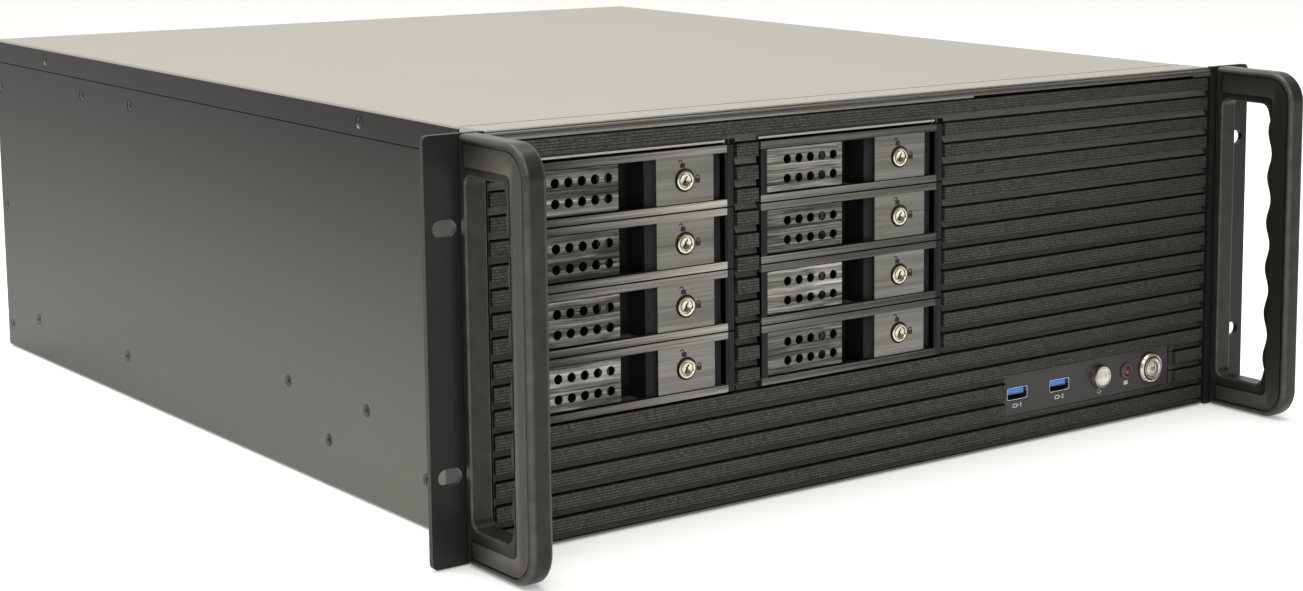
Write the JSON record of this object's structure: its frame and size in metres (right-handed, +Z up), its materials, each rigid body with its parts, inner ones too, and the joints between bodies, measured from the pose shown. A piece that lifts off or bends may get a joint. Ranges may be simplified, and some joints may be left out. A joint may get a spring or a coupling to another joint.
{
  "type": "nas enclosure",
  "caption": "Rack-mount network storage enclosure with hot-swap drive trays in two stacks, louvred front with filter door, controls, D handles and a lift-off cover.",
  "frame": {"origin": "bottom centre of the bounding box, on the surface the enclosure stands on", "axes": "+X to the right seen from the front, +Y from the front to the rear along the longest side, +Z up"},
  "size_m": [0.4826, 0.5912, 0.177],
  "materials": {
    "case_steel": "satin galvanised sheet",
    "inner_steel": "satin galvanised sheet",
    "black_coat": "satin black with a fine horizontal texture",
    "control_coat": "smooth satin black",
    "handle_grey": "satin dark grey",
    "tray_metal": "dark brushed metal",
    "silver_plate": "brushed",
    "lock_metal": "polished",
    "bright_metal": "polished",
    "usb_blue": "matte",
    "light_red": "clear gloss",
    "circuit_board": "solder mask",
    "fan_plastic": "matte",
    "filter_foam": "open foam",
    "screw_black": "black zinc",
    "print_white": "printed"
  },
  "bodies": {
    "chassis": {"base_pan": "case_steel", "front_wall": "case_steel", "rear_panel": "case_steel", "rear_sill": "case_steel", "psu_plate": "case_steel", "slot_blanks": "inner_steel", "front_bezel": "black_coat", "dust_filter": "filter_foam", "rack_ear_left": "black_coat", "rack_ear_right": "black_coat", "handle_left": "handle_grey", "handle_right": "handle_grey", "drive_cage_left": "inner_steel", "drive_cage_right": "inner_steel", "backplane_left": "circuit_board", "backplane_right": "circuit_board", "control_plate": "control_coat", "usb_port_1": "bright_metal", "usb_port_2": "bright_metal", "power_button_ring": "bright_metal", "hdd_light": "light_red", "control_board": "circuit_board", "fan_wall": "inner_steel", "fan_frame_1": "fan_plastic", "fan_frame_2": "fan_plastic", "fan_frame_3": "fan_plastic", "board_tray": "inner_steel", "psu_bracket": "inner_steel"},
    "cover": {"top_cover": "case_steel"},
    "door": {"filter_door": "black_coat"},
    "tray_1": {"drive_tray_1": "tray_metal"},
    "lever_1": {"tray_lever_1": "tray_metal"},
    "lock_1": {"key_lock_1": "lock_metal"},
    "tray_2": {"drive_tray_2": "tray_metal"},
    "lever_2": {"tray_lever_2": "tray_metal"},
    "lock_2": {"key_lock_2": "lock_metal"},
    "tray_3": {"drive_tray_3": "tray_metal"},
    "lever_3": {"tray_lever_3": "tray_metal"},
    "lock_3": {"key_lock_3": "lock_metal"},
    "tray_4": {"drive_tray_4": "tray_metal"},
    "lever_4": {"tray_lever_4": "tray_metal"},
    "lock_4": {"key_lock_4": "lock_metal"},
    "tray_5": {"drive_tray_5": "tray_metal"},
    "lever_5": {"tray_lever_5": "tray_metal"},
    "lock_5": {"key_lock_5": "lock_metal"},
    "tray_6": {"drive_tray_6": "tray_metal"},
    "lever_6": {"tray_lever_6": "tray_metal"},
    "lock_6": {"key_lock_6": "lock_metal"},
    "tray_7": {"drive_tray_7": "tray_metal"},
    "lever_7": {"tray_lever_7": "tray_metal"},
    "lock_7": {"key_lock_7": "lock_metal"},
    "tray_8": {"drive_tray_8": "tray_metal"},
    "lever_8": {"tray_lever_8": "tray_metal"},
    "lock_8": {"key_lock_8": "lock_metal"},
    "reset": {"reset_button": "bright_metal"},
    "power": {"power_button": "bright_metal"},
    "fan_1": {"fan_rotor_1": "fan_plastic"},
    "fan_2": {"fan_rotor_2": "fan_plastic"},
    "fan_3": {"fan_rotor_3": "fan_plastic"}
  },
  "joints": [
    {"name": "cover_lift", "type": "slide", "parent": "chassis", "child": "cover", "axis": [0, 0, 1], "range_m": [0, 0.2]},
    {"name": "door_pull", "type": "slide", "parent": "chassis", "child": "door", "axis": [0, -1, 0], "range_m": [0, 0.06]},
    {"name": "tray_1_slide", "type": "slide", "parent": "chassis", "child": "tray_1", "axis": [0, -1, 0], "range_m": [0, 0.18]},
    {"name": "lever_1_swing", "type": "hinge", "parent": "tray_1", "child": "lever_1", "pos_m": [-0.1897, -0.2411, 0.1482], "axis": [0, 0, -1], "range_deg": [0, 70]},
    {"name": "lock_1_turn", "type": "hinge", "parent": "tray_1", "child": "lock_1", "pos_m": [-0.1156, -0.2437, 0.1482], "axis": [0, 1, 0], "range_deg": [0, 90]},
    {"name": "tray_2_slide", "type": "slide", "parent": "chassis", "child": "tray_2", "axis": [0, -1, 0], "range_m": [0, 0.18]},
    {"name": "lever_2_swing", "type": "hinge", "parent": "tray_2", "child": "lever_2", "pos_m": [-0.1897, -0.2411, 0.12075], "axis": [0, 0, -1], "range_deg": [0, 70]},
    {"name": "lock_2_turn", "type": "hinge", "parent": "tray_2", "child": "lock_2", "pos_m": [-0.1156, -0.2437, 0.12075], "axis": [0, 1, 0], "range_deg": [0, 90]},
    {"name": "tray_3_slide", "type": "slide", "parent": "chassis", "child": "tray_3", "axis": [0, -1, 0], "range_m": [0, 0.18]},
    {"name": "lever_3_swing", "type": "hinge", "parent": "tray_3", "child": "lever_3", "pos_m": [-0.1897, -0.2411, 0.0933], "axis": [0, 0, -1], "range_deg": [0, 70]},
    {"name": "lock_3_turn", "type": "hinge", "parent": "tray_3", "child": "lock_3", "pos_m": [-0.1156, -0.2437, 0.0933], "axis": [0, 1, 0], "range_deg": [0, 90]},
    {"name": "tray_4_slide", "type": "slide", "parent": "chassis", "child": "tray_4", "axis": [0, -1, 0], "range_m": [0, 0.18]},
    {"name": "lever_4_swing", "type": "hinge", "parent": "tray_4", "child": "lever_4", "pos_m": [-0.1897, -0.2411, 0.06585], "axis": [0, 0, -1], "range_deg": [0, 70]},
    {"name": "lock_4_turn", "type": "hinge", "parent": "tray_4", "child": "lock_4", "pos_m": [-0.1156, -0.2437, 0.06585], "axis": [0, 1, 0], "range_deg": [0, 90]},
    {"name": "tray_5_slide", "type": "slide", "parent": "chassis", "child": "tray_5", "axis": [0, -1, 0], "range_m": [0, 0.18]},
    {"name": "lever_5_swing", "type": "hinge", "parent": "tray_5", "child": "lever_5", "pos_m": [-0.0694, -0.2411, 0.1482], "axis": [0, 0, -1], "range_deg": [0, 70]},
    {"name": "lock_5_turn", "type": "hinge", "parent": "tray_5", "child": "lock_5", "pos_m": [0.0047, -0.2437, 0.1482], "axis": [0, 1, 0], "range_deg": [0, 90]},
    {"name": "tray_6_slide", "type": "slide", "parent": "chassis", "child": "tray_6", "axis": [0, -1, 0], "range_m": [0, 0.18]},
    {"name": "lever_6_swing", "type": "hinge", "parent": "tray_6", "child": "lever_6", "pos_m": [-0.0694, -0.2411, 0.12075], "axis": [0, 0, -1], "range_deg": [0, 70]},
    {"name": "lock_6_turn", "type": "hinge", "parent": "tray_6", "child": "lock_6", "pos_m": [0.0047, -0.2437, 0.12075], "axis": [0, 1, 0], "range_deg": [0, 90]},
    {"name": "tray_7_slide", "type": "slide", "parent": "chassis", "child": "tray_7", "axis": [0, -1, 0], "range_m": [0, 0.18]},
    {"name": "lever_7_swing", "type": "hinge", "parent": "tray_7", "child": "lever_7", "pos_m": [-0.0694, -0.2411, 0.0933], "axis": [0, 0, -1], "range_deg": [0, 70]},
    {"name": "lock_7_turn", "type": "hinge", "parent": "tray_7", "child": "lock_7", "pos_m": [0.0047, -0.2437, 0.0933], "axis": [0, 1, 0], "range_deg": [0, 90]},
    {"name": "tray_8_slide", "type": "slide", "parent": "chassis", "child": "tray_8", "axis": [0, -1, 0], "range_m": [0, 0.18]},
    {"name": "lever_8_swing", "type": "hinge", "parent": "tray_8", "child": "lever_8", "pos_m": [-0.0694, -0.2411, 0.06585], "axis": [0, 0, -1], "range_deg": [0, 70]},
    {"name": "lock_8_turn", "type": "hinge", "parent": "tray_8", "child": "lock_8", "pos_m": [0.0047, -0.2437, 0.06585], "axis": [0, 1, 0], "range_deg": [0, 90]},
    {"name": "reset_press", "type": "slide", "parent": "chassis", "child": "reset", "axis": [0, 1, 0], "range_m": [0, 0.002], "stiffness_N_per_m": 600, "springref_m": -0.001},
    {"name": "power_press", "type": "slide", "parent": "chassis", "child": "power", "axis": [0, 1, 0], "range_m": [0, 0.002], "stiffness_N_per_m": 600, "springref_m": -0.001},
    {"name": "fan_1_spin", "type": "hinge", "parent": "chassis", "child": "fan_1", "pos_m": [-0.124, -0.0147, 0.064], "axis": [0, 1, 0], "continuous": true},
    {"name": "fan_2_spin", "type": "hinge", "parent": "chassis", "child": "fan_2", "pos_m": [0, -0.0147, 0.064], "axis": [0, 1, 0], "continuous": true},
    {"name": "fan_3_spin", "type": "hinge", "parent": "chassis", "child": "fan_3", "pos_m": [0.124, -0.0147, 0.064], "axis": [0, 1, 0], "continuous": true}
  ]
}
